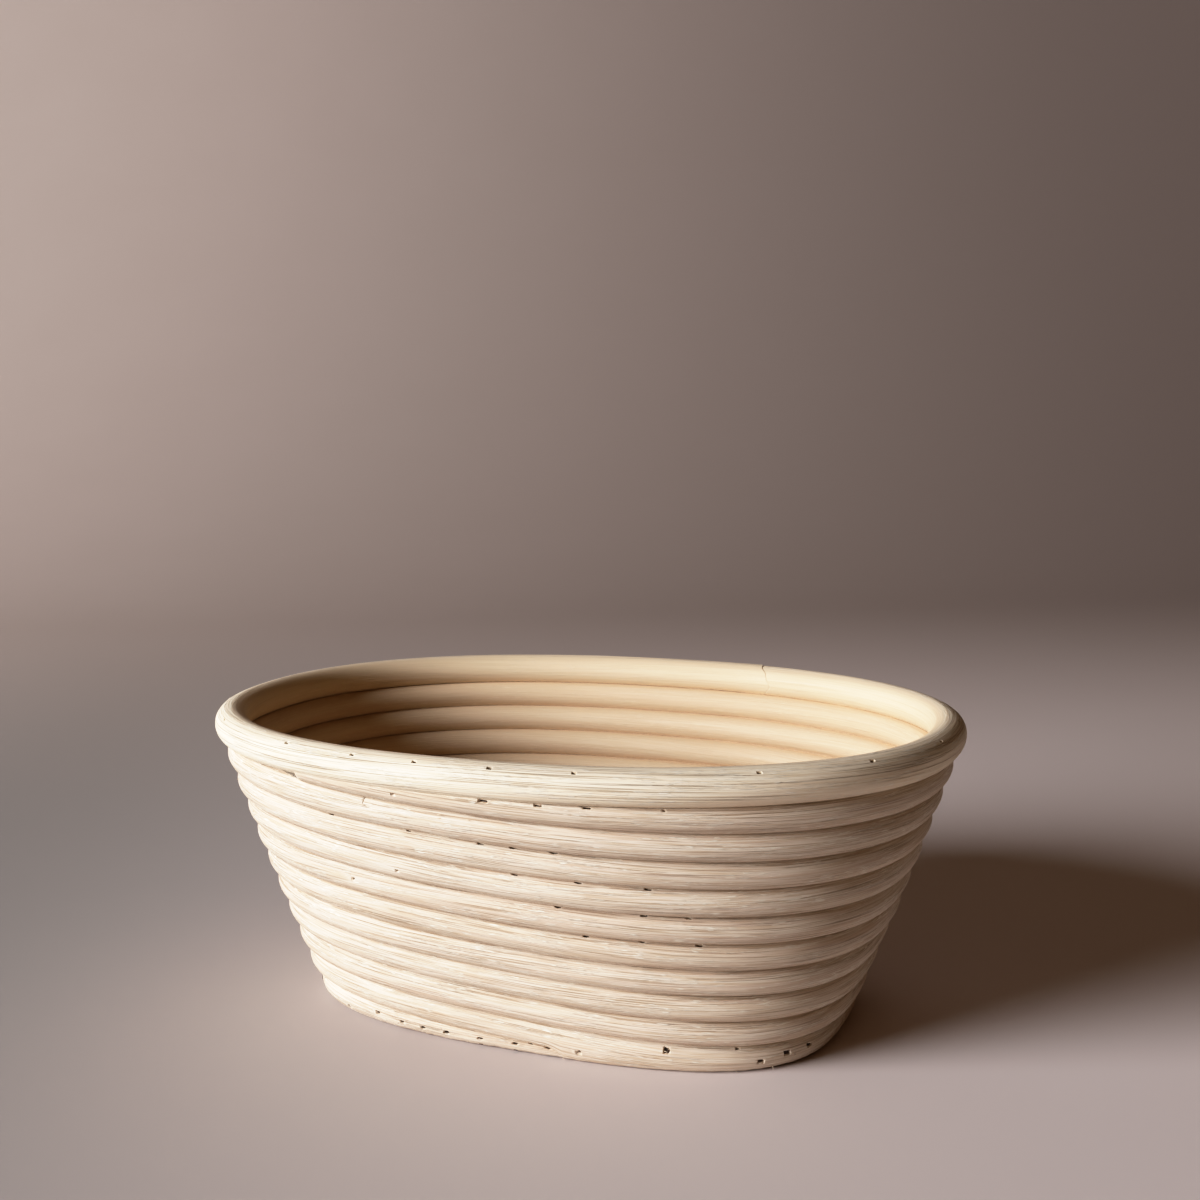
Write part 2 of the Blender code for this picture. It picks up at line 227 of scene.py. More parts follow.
def skin(name, points, fibre, facts, material, rows):
    """A closed tube of quads through rings of points, with its fibre
    coordinates, its other facts, and a map that lays it out in rows."""
    n, m, _ = points.shape
    i, k = np.arange(n - 1)[:, None], np.arange(m)[None, :]
    quads = np.stack([i * m + k, i * m + (k + 1) % m, (i + 1) * m + (k + 1) % m, (i + 1) * m + k], -1)
    quads = quads.reshape(-1, 4)
    a, b, c = (points.reshape(-1, 3)[quads[:, q]] for q in range(3))
    d = points.reshape(-1, 3)[quads[:, 3]]
    volume = np.einsum("ij,ij->i", a, np.cross(b, c)).sum() + np.einsum("ij,ij->i", a, np.cross(c, d)).sum()
    flip = volume < 0
    per_row = int(math.ceil((n - 1) / rows))
    row = (i // per_row) + 0 * k
    u0 = (i - row * per_row) / per_row + 0.0 * k
    u1 = (i + 1 - row * per_row) / per_row + 0.0 * k
    v0 = (row + 0.03 + 0.94 * k / m) / (rows + 0.25)
    v1 = (row + 0.03 + 0.94 * (k + 1) / m) / (rows + 0.25)
    u0, u1 = 0.004 + 0.992 * u0, 0.004 + 0.992 * u1
    uv = np.stack([np.stack([u0, v0], -1), np.stack([u0, v1], -1),
                   np.stack([u1, v1], -1), np.stack([u1, v0], -1)], 2).reshape(-1, 4, 2)
    first, last = np.arange(m), (n - 1) * m + np.arange(m)
    if flip:
        quads, uv = quads[:, ::-1], uv[:, ::-1]
        caps = [first, last[::-1]]
    else:
        caps = [first[::-1], last]
    round_ = np.stack([np.cos(np.arange(m) * 2 * math.pi / m), np.sin(np.arange(m) * 2 * math.pi / m)], -1)
    size = 0.09 / (rows + 0.25)
    cap_uv = [np.array([0.1, (rows + 0.125) / (rows + 0.25)]) + round_ * size,
              np.array([0.6, (rows + 0.125) / (rows + 0.25)]) + round_ * size]
    mesh = bpy.data.meshes.new(name)
    mesh.from_pydata(points.reshape(-1, 3).tolist(), [], quads.tolist() + [cap.tolist() for cap in caps])
    layer = mesh.uv_layers.new(name="OFBake")
    layer.data.foreach_set("uv", np.concatenate([uv.reshape(-1, 2)] + cap_uv).astype(np.float32).ravel())
    item = mesh.attributes.new("cane", "FLOAT_VECTOR", "POINT")
    item.data.foreach_set("vector", fibre.reshape(-1, 3).astype(np.float32).ravel())
    for key, values in facts.items():
        item = mesh.attributes.new(key, "FLOAT", "POINT")
        item.data.foreach_set("value", np.broadcast_to(values, (n, m)).astype(np.float32).ravel())
    mesh.shade_smooth()
    mesh.set_sharp_from_angle(angle=math.radians(55))
    mesh.materials.append(material)
    thing = bpy.data.objects.new(name, mesh)
    bpy.context.scene.collection.objects.link(thing)
    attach(thing, "root")
    return thing


def texture(along, angle, seed, radius_mm, smooth, cut=1.0):
    """Height of the skin in mm from its fibres, and the fibre coordinates.
    smooth is 0 on a raw side and 1 on a side rubbed smooth."""
    twist = 0.5 * drift(along / 260.0 + seed, seed + 7) + 0.3 * drift(along / 90.0, seed + 8)
    around = (angle + twist) / (2 * math.pi)
    rough = 1 - 0.75 * smooth
    lumps = 0.055 * grain(along / 75.0, around, seed, 6) + 0.03 * grain(along / 22.0, around, seed + 1, 9)
    ridges = 0.020 * grain(along / 42.0, around, seed + 2, 50) * rough
    grooves = -0.038 * cut * ramp(grain(along / 55.0, around, seed + 3, 40), 0.50, 0.88) * rough
    flecks = 0.035 * ramp(grain(along / 3.2, around, seed + 4, 56), 0.55, 0.95) * rough
    height = lumps + ridges + grooves + flecks
    fibre = np.stack([radius_mm * np.cos(around * 2 * math.pi),
                      radius_mm * np.sin(around * 2 * math.pi),
                      along + 0 * angle + 1000.0 * (seed % 17)], -1)
    return height, fibre, around


def pressed(angle, radius, flat):
    """Radius of a section that is round but pressed flat by the passes above
    and below it."""
    lean = math.radians(69.7)
    reach = np.full(angle.shape, radius)
    for at in (lean, lean + math.pi):
        c = np.cos(angle - at)
        reach = np.where(c > 0.3, np.minimum(reach, flat / np.maximum(c, 0.3)), reach)
    return reach


WALL_RING = ring_angles(42, 24, 5)


class Line:
    """A cane's path: its length in mm against turns or ways."""

    def __init__(self, start, end, path):
        self.t = np.linspace(start, end, int(abs(end - start) * 3000) + 200)
        xy, out, z = path(self.t)[:3]
        self.centre = np.concatenate([xy, z[:, None]], -1)
        self.out = out
        step = np.linalg.norm(np.diff(self.centre, axis=0), axis=1) / MM
        self.s = np.concatenate([[0], np.cumsum(step)])

    def length_at(self, t):
        return np.interp(t, self.t, self.s)

    def at_length(self, s):
        return np.interp(s, self.s, self.t)


def scarf_lean(angle, seed):
    """How far the end of a scarfed length leans, -1 to 1: a long slope with a
    blunt upper end."""
    up = np.sin(angle)
    return np.clip((up + 1.0) / 1.42, 0, 1) * 2 - 1


def seated(turn, z, h, place):
    """Heights of the lowest pass on the table: it starts as a wedge that is
    flattened under the next pass, which is cut to close over the wedge's end;
    the underside all round is planed flat. Also how much narrower it is."""
    r = CANE_FLAT
    planed = 0.00012 + 0.00008 * drift(place / 6.0, 31) + 0.00010 * drift(place / 1.7, 32)
    wedge = ramp(0.37 - turn, 0.0, 0.06)
    flat = (h + r) * (z + r + planed) / (2 * r) - planed
    over = ramp(1.128 - turn, 0.0, 0.012)
    down = np.where(h < 0, z + h * (z + planed) / r, z + h)
    low = np.where(turn < 1.0, down * (1 - wedge) + flat * wedge, down * over + (z + h) * (1 - over))
    zz = np.where(turn < 1.3, low, z + h)
    return np.maximum(zz, 0.00002), 0.22 * ramp(0.20 - turn, 0.0, 0.09)


def wall_cane(name, start, end, scarfs, marks, step, seed, material):
    line = Line(start - 0.08, end + 0.14, wall_path)
    s0, s1 = line.length_at(start), line.length_at(end)
    mine = [(line.length_at(t), a, h, v, d, sd) for t, a, h, v, d, sd in marks if start <= t < end]
    along = stations(s0, s1, step, [m[0] for m in mine])
    angle = WALL_RING
    n = len(along)
    lean = np.zeros((n, len(angle)))
    blend = 30.0
    if scarfs[0]:
        lean += np.clip(1 - (along - s0) / blend, 0, 1)[:, None] * (scarf_lean(angle, seed) * scarfs[0] / MM)
    if scarfs[1]:
        lean += np.clip(1 - (s1 - along) / blend, 0, 1)[:, None] * (scarf_lean(angle, seed) * scarfs[1] / MM)
    if end == WALL_END:
        # the end under the rim is cut on a long slant, so that it runs on inside
        lean += np.clip(1 - (s1 - along) / 60.0, 0, 1)[:, None] * (1.9 + 44.0 * ramp(-np.cos(angle), -0.15, 0.40))
    place = along[:, None] + lean
    # the crack of a scarf stays a little open
    crack = 0.50 + 0.20 * np.sin(2.0 * angle + seed)
    place = place + crack * ((along == s0) * bool(scarfs[0]) - 1.0 * (along == s1) * bool(scarfs[1]))[:, None]
    turn = line.at_length(place)
    xy, out, z, level = wall_path(turn)
    inner = ramp(-np.cos(angle - math.radians(-20)), -0.05, 0.55)[None, :] + 0 * place
    height, fibre, around = texture(place, angle[None, :], seed, CANE_RADIUS / MM, inner)
    # a length's own thickness wanders, and is a little less at a splice
    height = height + 0.05 * drift(along / 120.0, seed + 21)[:, None]
    if scarfs[0]:
        height = height - 0.30 * np.clip(1 - (along - s0) / 24.0, 0, 1)[:, None]
    pit = np.full_like(place, -1.0)
    torn = np.zeros_like(place)
    if scarfs[1]:
        near_end = np.clip(1 - (s1 - along) / 9.0, 0, 1)[:, None]
        frayed = 0.5 + 0.5 * grain(place / 1.6, around, seed + 31, 48)
        height = height + (0.10 * frayed - 0.05) * near_end
        torn = torn + 0.7 * frayed * near_end
    for mark in mine:
        dig(height, pit, torn, along, angle, CANE_RADIUS / MM, mark)
    # where it touches the passes beside it, it is squeezed until it fills the seam
    away = (np.degrees(angle) - 69.7 + 90.0) % 180.0 - 90.0
    tight = np.exp(-(away / 10.0) ** 2)[None, :] * (1 - ramp(pit, -0.4, -0.1))
    height = height * (1 - tight) + 0.12 * tight
    reach = pressed(angle, CANE_RADIUS, CANE_FLAT)[None, :] + height * MM
    o, h = reach * np.cos(angle), reach * np.sin(angle)
    x = xy[..., 0] + out[..., 0] * o
    y = xy[..., 1] + out[..., 1] * o
    zz = z + h
    if start < 1:
        zz, narrow = seated(turn, z, h, place)
        x, y = x - out[..., 0] * o * narrow, y - out[..., 1] * o * narrow
    # pared where it ends under the rim
    way = CLIMB_FROM - turn
    rim_xy, rim_out, rim_z = rim_path(way)
    off = ((x - rim_xy[..., 0]) * rim_out[..., 0] + (y - rim_xy[..., 1]) * rim_out[..., 1])
    under = RIM_RADIUS - 0.00010
    ceiling = rim_z - np.sqrt(np.maximum(under ** 2 - off ** 2, 0.0))
    high = (level > PASSES - 2.6) & (np.abs(off) < under)
    zz = np.where(high, np.minimum(zz, ceiling), zz)
    pared = ramp(turn, 10.13, 10.20) * ramp(np.sin(angle)[None, :] + 0 * turn, -0.75, -0.2)
    pared = np.maximum(pared, ramp(-turn, -0.21, -0.13) * ramp(np.sin(angle)[None, :] + 0 * turn, 0.0, 0.4) * 0.6)
    points = np.stack([x, y, zz], -1)
    # the press fact marks the seams where the passes touch; the finish paints shade along it
    facts = {"pit": pit, "torn": torn, "inner": inner, "pared": pared,
             "press": np.exp(-((np.degrees(angle) - 69.7) / 11.0) ** 2)[None, :]
             + np.exp(-((np.degrees(angle) - 249.7) / 11.0) ** 2)[None, :]
             + np.exp(-((np.degrees(angle) + 110.3) / 11.0) ** 2)[None, :]}
    thing = skin(name, points, fibre, facts, material, max(int(round(end - start)), 1))
    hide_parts(name.replace("_skin", ""))
    return thing


def rim_cane(marks, material):
    angle = np.linspace(-math.pi, math.pi, 112, endpoint=False)
    line = Line(RIM_JOINT - 0.05, RIM_JOINT + 1.05, rim_path)
    s0, s1 = line.length_at(RIM_JOINT), line.length_at(RIM_JOINT + 1)

    def unrolled(way):
        return RIM_JOINT + (way - RIM_JOINT) % 1.0

    mine = [(line.length_at(unrolled(w)), a, h, v, d, sd) for w, a, h, v, d, sd in marks]
    along = stations(s0, s1, 1.0, [m[0] for m in mine])
    crack = np.cos(angle) * RIM_SCARF / MM + 0.55 * np.sin(3 * angle + 1.0) + 0.3 * np.sin(7 * angle)
    lean = (np.clip(1 - (along - s0) / 14.0, 0, 1) + np.clip(1 - (s1 - along) / 14.0, 0, 1))[:, None] * crack
    place = along[:, None] + lean
    place = place + 0.09 * ((along == s0) * 1.0 - (along == s1) * 1.0)[:, None]
    way = line.at_length(place)
    xy, out, z = rim_path(way)
    inner = ramp(-np.cos(angle - math.radians(-10)), 0.05, 0.7)[None, :] + 0 * place
    # the upper side is rubbed smooth
    smooth = np.maximum(0.8 * inner, 0.30 * ramp(np.sin(angle - math.radians(10)), 0.55, 0.95)[None, :])
    height, fibre, around = texture(place, angle[None, :], 301, RIM_RADIUS / MM, smooth, 1.5)
    height = height + 0.06 * drift(along / 90.0, 322)[:, None]
    height = height + 0.10 * ramp(-np.abs(along - s0), -9.0, -1.0)[:, None] * 1.0
    pit = np.full_like(place, -1.0)
    torn = np.zeros_like(place)
    for mark in mine:
        dig(height, pit, torn, along, angle, RIM_RADIUS / MM, mark)
    reach = RIM_RADIUS - 0.00004 + height * MM
    o, h = reach * np.cos(angle), reach * np.sin(angle)
    points = np.stack([xy[..., 0] + out[..., 0] * o, xy[..., 1] + out[..., 1] * o, z + h], -1)
    # the press fact marks the underside where the rim sits on the wall; the finish paints shade along it
    press = np.exp(-((np.degrees(angle) + 110) / 16.0) ** 2)[None, :]
    facts = {"pit": pit, "torn": torn, "inner": inner, "pared": 0.0 * place, "press": press}
    thing = skin("rim_cane_skin", points, fibre, facts, material, 2)
    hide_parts("rim_cane")
    return thing


def floor_edge(y):
    """Half length of the floor at this y: the inside of the lowest pass."""
    xy, out, _, _ = wall_path(CLIMB_FROM - np.linspace(0.0, 0.25, 600) + 3.0)
    way = np.linspace(0.0, 0.25, 1200)
    base = on_oval(BASE_OVAL, way)
    out = outward(on_oval(BASE_OVAL, way + 0.004), on_oval(BASE_OVAL, way - 0.004))
    ring = base - out * (CANE_RADIUS + 0.00012)
    order = np.argsort(ring[:, 1])
    return np.interp(-np.abs(y), ring[order, 1], ring[order, 0])


def floor_rod(index, material):
    seed = 400 + 13 * index
    rng = np.random.default_rng(seed)
    y0 = (index - (ROD_COUNT - 1) / 2) * ROD_PITCH
    angle = np.linspace(-math.pi, math.pi, 60, endpoint=False)
    wide = ROD_HALF_WIDTH + 0.00002 * rng.standard_normal()
    tall = ROD_HALF_HEIGHT + 0.00004 * rng.standard_normal()
    square = 2.35
    c, s = np.cos(angle), np.sin(angle)
    section = (np.abs(c) ** square + np.abs(s) ** square) ** (-1 / square)
    across, up = wide * section * c, tall * section * s
    edge = floor_edge(y0 + across)
    # ends are a little rounded
    body = np.linspace(-1, 1, max(int(edge.max() * 2 / 0.0017), 20))
    inset = np.concatenate([[1.0, 0.55, 0.2], np.zeros(len(body)), [0.2, 0.55, 1.0]]) * 0.00042
    share = np.concatenate([[-1] * 3, body, [1] * 3])
    back = np.concatenate([[0.0, 0.00007, 0.00022], np.full(len(body), 0.00045), [0.00022, 0.00007, 0.0]])
    ragged = 0.00018 * drift(np.arange(len(angle)) * 0.23 + seed, seed + 2)
    x = share[:, None] * (edge - back[:, None] - np.abs(ragged))
    place = x / MM
    top = ramp(s, 0.1, 0.7)[None, :] + 0 * place
    height, fibre, around = texture(place, angle[None, :], seed, ROD_HALF_WIDTH / MM, 0.35 + 0.3 * top)
    bow = 0.00010 * drift(place / 55.0 + 9, seed + 3)
    grow = 1 + (height * MM - inset[:, None]) / ROD_HALF_WIDTH
    points = np.stack([x, y0 + across * grow + 0.4 * bow, np.maximum(ROD_HEIGHT + up * grow + bow, 0.00003)], -1)
    # the press fact marks the sides where the rods touch; the finish paints shade along them
    press = np.exp(-((np.degrees(np.arcsin(np.clip(s, -1, 1)))) / 14.0) ** 2)[None, :]
    facts = {"pit": 0.0 * place - 1.0, "torn": 0.0 * place, "inner": 0.0 * place + 1.0, "pared": 0.0 * place, "press": press}
    thing = skin("floor_rod_%02d_skin" % (index + 1), points, fibre, facts, material, 1)
    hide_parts("floor_rod_%02d" % (index + 1))
    return thing


# -------------------------------------------------------------------- finishes, with painted light and shade

class Tree:
    """Short names for the nodes of one material."""

    def __init__(self, name):
        self.material = bpy.data.materials.new(name)
        self.material.use_nodes = True
        self.nodes = self.material.node_tree.nodes
        self.links = self.material.node_tree.links
        self.shader = self.nodes["Principled BSDF"]

    def put(self, socket, value):
        if isinstance(value, bpy.types.NodeSocket):
            self.links.new(value, socket)
        else:
            socket.default_value = value

    def fact(self, name, output="Fac"):
        node = self.nodes.new("ShaderNodeAttribute")
        node.attribute_name = name
        return node.outputs[output]

    def stretched(self, vector, across, along):
        node = self.nodes.new("ShaderNodeVectorMath")
        node.operation = "MULTIPLY"
        self.put(node.inputs[0], vector)
        node.inputs[1].default_value = (across, across, along)
        return node.outputs[0]

    def noise(self, vector, detail=2.0, rough=0.5, distortion=0.0):
        node = self.nodes.new("ShaderNodeTexNoise")
        self.put(node.inputs["Vector"], vector)
        node.inputs["Scale"].default_value = 1.0
        node.inputs["Detail"].default_value = detail
        node.inputs["Roughness"].default_value = rough
        node.inputs["Distortion"].default_value = distortion
        return node.outputs["Fac"]

    def span(self, value, low, high, to_low=0.0, to_high=1.0):
        node = self.nodes.new("ShaderNodeMapRange")
        node.interpolation_type = "SMOOTHSTEP"
        self.put(node.inputs["Value"], value)
        for key, number in (("From Min", low), ("From Max", high), ("To Min", to_low), ("To Max", to_high)):
            node.inputs[key].default_value = number
        return node.outputs["Result"]

    def math(self, operation, a, b):
        node = self.nodes.new("ShaderNodeMath")
        node.operation = operation
        self.put(node.inputs[0], a)
        self.put(node.inputs[1], b)
        return node.outputs[0]

    def mix(self, share, a, b):
        node = self.nodes.new("ShaderNodeMix")
        node.data_type = "RGBA"
        self.put(node.inputs[0], share)
        for socket, value in ((node.inputs[6], a), (node.inputs[7], b)):
            self.put(socket, value if isinstance(value, bpy.types.NodeSocket) else (*value, 1.0))
        return node.outputs[2]

    def bump(self, height, strength, distance):
        node = self.nodes.new("ShaderNodeBump")
        node.inputs["Strength"].default_value = strength
        node.inputs["Distance"].default_value = distance
        self.put(node.inputs["Height"], height)
        return node.outputs["Normal"]


def cane_material(name, pale, tan, blush, streak, honey, contrast, hairs, lines, groove, relief):
    t = Tree(name)
    cane = t.fact("cane", "Vector")
    hair = t.noise(t.stretched(cane, 4.4, 0.070), 1.0, 0.5)
    fine = t.noise(t.stretched(cane, 2.5, 0.026), 2.0, 0.6)
    line = t.noise(t.stretched(cane, 3.9, 0.9 / lines), 1.0, 0.5)
    mid = t.noise(t.stretched(cane, 0.70, 0.009), 2.0, 0.5)
    slow = t.noise(t.stretched(cane, 0.10, 0.007), 1.0, 0.5)
    tuft = t.noise(t.stretched(cane, 3.9, 0.30), 1.0, 0.5)
    patch = t.noise(t.stretched(cane, 0.60, 0.060), 1.0, 0.5)
    inner = t.fact("inner")
    raw = t.span(inner, 0.0, 1.0, 1.0, 0.40)
    tufts = t.math("MULTIPLY", t.math("MULTIPLY", t.span(tuft, 0.55, 0.66), t.span(patch, 0.42, 0.56)), raw)
    dark_line = t.math("MULTIPLY", t.span(line, 0.61, 0.68), raw)
    colour = t.mix(t.math("MULTIPLY", t.span(fine, 0.36, 0.66), contrast), pale, tan)
    colour = t.mix(t.math("MULTIPLY", t.math("MULTIPLY", t.span(hair, 0.48, 0.60), hairs), raw), colour, tan)
    colour = t.mix(t.math("MULTIPLY", t.math("MULTIPLY", t.span(hair, 0.36, 0.46, 1.0, 0.0), hairs), raw), colour, pale)
    colour = t.mix(t.math("MULTIPLY", t.span(mid, 0.47, 0.70), 0.40), colour, blush)
    colour = t.mix(t.math("MULTIPLY", t.span(slow, 0.42, 0.70), 0.25), colour, tan)
    colour = t.mix(t.math("MULTIPLY", dark_line, 0.48), colour, streak)
    # pale raised fibre tufts: partly their own paler colour, partly painted highlight where they catch the light
    colour = t.mix(t.math("MULTIPLY", tufts, 0.85), colour, (0.97, 0.90, 0.77))
    # the inner side turns honey: partly its smoother inner skin, partly painted shade of the basket's inside
    colour = t.mix(t.math("MULTIPLY", inner, 0.55), colour, honey)
    # painted shade: brown darkening along the seams where canes touch, under the rim and between the rods
    colour = t.mix(t.math("MULTIPLY", t.fact("press"), 0.30), colour, (0.43, 0.30, 0.19))
    colour = t.mix(t.math("MULTIPLY", t.fact("pared"), 0.28), colour, (0.84, 0.67, 0.51))
    colour = t.mix(t.math("MULTIPLY", t.fact("torn"), 0.5), colour, (0.94, 0.84, 0.69))
    # painted shade: near-black brown inside the brad pits
    colour = t.mix(t.math("MULTIPLY", t.span(t.fact("pit"), -0.03, 0.10), 0.93), colour, (0.085, 0.056, 0.036))
    t.put(t.shader.inputs["Base Color"], colour)
    t.put(t.shader.inputs["Roughness"], t.span(fine, 0.3, 0.7, 0.52, 0.70))
    t.shader.inputs["Specular IOR Level"].default_value = 0.28
    hills = t.math("ADD", t.math("MULTIPLY", fine, 0.70), t.math("MULTIPLY", hair, 0.60))
    hills = t.math("SUBTRACT", hills, t.math("MULTIPLY", dark_line, groove))
    hills = t.math("MULTIPLY", hills, raw)
    hills = t.math("ADD", hills, t.math("MULTIPLY", tufts, 0.32))
    t.put(t.shader.inputs["Normal"], t.bump(hills, 1.0, relief))
    return t.material


def steel_material():
    t = Tree("brad_steel")
    place = t.nodes.new("ShaderNodeTexCoord").outputs["Object"]
    spots = t.noise(t.stretched(place, 2600.0, 2600.0), 2.0, 0.6)
    t.put(t.shader.inputs["Base Color"], t.mix(t.span(spots, 0.40, 0.66), (0.075, 0.065, 0.058), (0.13, 0.075, 0.040)))
    t.put(t.shader.inputs["Roughness"], t.span(spots, 0.3, 0.7, 0.35, 0.65))
    t.shader.inputs["Metallic"].default_value = 0.85
    return t.material


WALL = cane_material("wall_cane_colour_with_painted_light_and_shade", (0.840, 0.737, 0.616), (0.676, 0.536, 0.396), (0.75, 0.588, 0.468),
                     (0.38, 0.24, 0.135), (0.71, 0.520, 0.320), 0.36, 0.85, 26.0, 0.36, 0.00022)
# the rim is a paler cream than the wall: partly its own colour, partly painted light from above
RIM = cane_material("rim_cane_colour_with_painted_light_and_shade", (0.97, 0.870, 0.710), (0.84, 0.690, 0.500), (0.92, 0.780, 0.605),
                    (0.46, 0.315, 0.190), (0.75, 0.565, 0.360), 0.22, 0.60, 55.0, 0.70, 0.00021)
ROD = cane_material("floor_rod_finish", (0.89, 0.765, 0.595), (0.74, 0.565, 0.375), (0.82, 0.555, 0.375),
                    (0.42, 0.27, 0.15), (0.82, 0.645, 0.440), 0.50, 0.60, 30.0, 0.40, 0.00022)
STEEL = steel_material()


# ----------------------------------------------------------- brads and their pits

WALL_LINE = Line(WALL_START, WALL_END, wall_path)
RIM_LINE = Line(-0.5, 0.5, rim_path)


def brad_entry(node):
    """Where a packed brad goes in, and the way it points out."""
    corners = np.unique(np.round([v.co for v in node.data.vertices], 7), axis=0)
    middle = corners.mean(0)
    axis = np.linalg.svd(corners - middle)[2][0]
    ends = [corners[(corners - middle) @ axis * sign > 0].mean(0) for sign in (1, -1)]
    head, tip = sorted(ends, key=lambda e: -math.hypot(e[0] / RIM_HALF_LENGTH, e[1] / RIM_HALF_WIDTH))
    out = (head - tip) / np.linalg.norm(head - tip)
    return head + out * 0.0005, out


def place_on(line, point):
    gap = np.linalg.norm(line.centre - point, axis=1)
    i = int(np.argmin(gap))
    offset = point - line.centre[i]
    angle = math.atan2(offset[2], offset[0] * line.out[i, 0] + offset[1] * line.out[i, 1])
    return float(gap[i]), float(line.t[i]), angle


wall_marks, rim_marks = [], []
for number, (name, node) in enumerate(sorted(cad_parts.items())):
    if "_brad_" not in name:
        continue
    point, _ = brad_entry(node)
    on_rim, on_wall = place_on(RIM_LINE, point), place_on(WALL_LINE, point)
    if on_rim[0] - RIM_RADIUS < on_wall[0] - CANE_RADIUS:
        rim_marks.append((on_rim[1], on_rim[2], 0.52, 0.26, 0.8, 900 + number))
    elif "floor" in name:
        # some have closed over
        if not (0.93 < on_wall[1] < 0.98 or on_wall[1] > 1.0):
            wall_marks.append((on_wall[1], on_wall[2], 0.60, 0.36, 0.9, 900 + number))
    else:
        wall_marks.append((on_wall[1], on_wall[2] + 0.10, 0.80, 0.26, 0.8, 900 + number))
    node.data.materials.clear()
    node.data.materials.append(STEEL)

# more brads of the same kinds, between the ones above: (turn, degrees above the
# outermost line, half length, half height)
MORE = [(10.182, -14, 0.40, 0.18), (10.139, 11, 0.95, 0.22), (10.1145, 18, 0.85, 0.21), (10.0933, 25, 0.90, 0.22),
        (10.061, 32, 0.36, 0.15), (8.1857, 53, 0.50, 0.20), (8.1305, 53, 0.80, 0.26), (8.1102, 53, 0.85, 0.26),
        (7.1319, 52, 0.75, 0.26), (7.0995, 52, 0.85, 0.25), (6.0668, 53, 0.80, 0.25), (6.045, 52, 0.60, 0.22),
        (5.067, 52, 0.65, 0.22), (7.196, -13, 0.36, 0.26), (6.230, 5, 0.34, 0.26),
        (0.3292, 18, 0.50, 0.40), (0.2901, -24, 0.58, 0.46), (0.2395, -2, 0.60, 0.46), (0.2222, -2, 0.58, 0.46),
        (0.2037, 6, 0.66, 0.50), (0.1782, 12, 0.70, 0.42), (0.1527, 24, 0.66, 0.46), (0.1418, 44, 0.40, 0.26),
        (0.1298, 40, 0.72, 0.48), (1.1061, -25, 0.66, 0.34), (1.0485, 26, 0.72, 0.74), (1.0051, 43, 0.45, 0.20),
        (0.9919, -13, 0.66, 0.50), (0.9753, 2, 0.72, 0.52), (0.9591, 7, 0.60, 0.46),
        (9.42, 52, 0.8, 0.28), (9.55, 52, 0.8, 0.28), (9.70, 52, 0.8, 0.28), (9.83, 52, 0.8, 0.28),
        (8.40, 52, 0.8, 0.28), (8.78, 52, 0.8, 0.28), (7.45, 52, 0.8, 0.28), (7.68, 52, 0.8, 0.28),
        (7.90, 52, 0.8, 0.28), (6.38, 52, 0.8, 0.28), (6.80, 52, 0.8, 0.28), (5.42, 52, 0.8, 0.28),
        (5.62, 52, 0.8, 0.28), (5.85, 52, 0.8, 0.28), (4.40, 52, 0.8, 0.28), (4.75, 52, 0.8, 0.28),
        (3.72, 52, 0.8, 0.28), (2.40, 52, 0.8, 0.28), (2.80, 52, 0.8, 0.28)]
MORE_RIM = [(0.268, 55, 0.6, 0.32), (0.356, 55, 0.6, 0.32), (0.428, 54, 0.65, 0.34), (0.452, 55, 0.65, 0.34),
            (0.535, 54, 0.6, 0.32), (0.655, 55, 0.6, 0.32), (0.690, 54, 0.6, 0.32), (0.790, 55, 0.6, 0.32)]
extra_heads = []
for number, (turn, degrees, half, high) in enumerate(MORE):
    wall_marks.append((turn, math.radians(degrees), half, high, 0.95, 1200 + number))
    extra_heads.append((WALL_LINE, turn, math.radians(degrees), half, high, CANE_RADIUS))
for number, (way, degrees, half, high) in enumerate(MORE_RIM):
    rim_marks.append((way, math.radians(degrees), half, high, 0.95, 1400 + number))
    extra_heads.append((RIM_LINE, (way + 0.5) % 1.0 - 0.5, math.radians(degrees), half, high, RIM_RADIUS))


def more_brads():
    """Heads of the brads between, each a small bevelled strip in its pit."""
    points, faces = [], []
    for line, t, angle, half, high, radius in extra_heads:
        i = int(np.argmin(np.abs(line.t - t)))
        out = np.array([line.out[i, 0], line.out[i, 1], 0.0])
        along = np.array([-out[1], out[0], 0.0])
        normal = out * math.cos(angle) + np.array([0, 0, 1.0]) * math.sin(angle)
        thick = np.cross(normal, along)
        centre = line.centre[i] + normal * radius
        a, b = max(half - 0.20, 0.15) * MM, max(high - 0.14, 0.08) * MM
        first = len(points)
        for depth, shrink in ((-0.00062, 0.82), (-0.00070, 1.0), (-0.00180, 1.0), (-0.00230, 0.45)):
            for sa, sb in ((1, 1), (-1, 1), (-1, -1), (1, -1)):
                points.append(tuple(centre + normal * depth + along * a * sa * shrink + thick * b * sb * shrink))
        faces.append((first, first + 1, first + 2, first + 3))
        for ring in range(3):
            for k in range(4):
                p, q = first + ring * 4 + k, first + ring * 4 + (k + 1) % 4
                faces.append((q, p, p + 4, q + 4))
        faces.append((first + 15, first + 14, first + 13, first + 12))
    mesh = bpy.data.meshes.new("brads_between")
    mesh.from_pydata(points, [], faces)
    mesh.materials.append(STEEL)
    thing = bpy.data.objects.new("brads_between", mesh)
    bpy.context.scene.collection.objects.link(thing)
    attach(thing, "root")


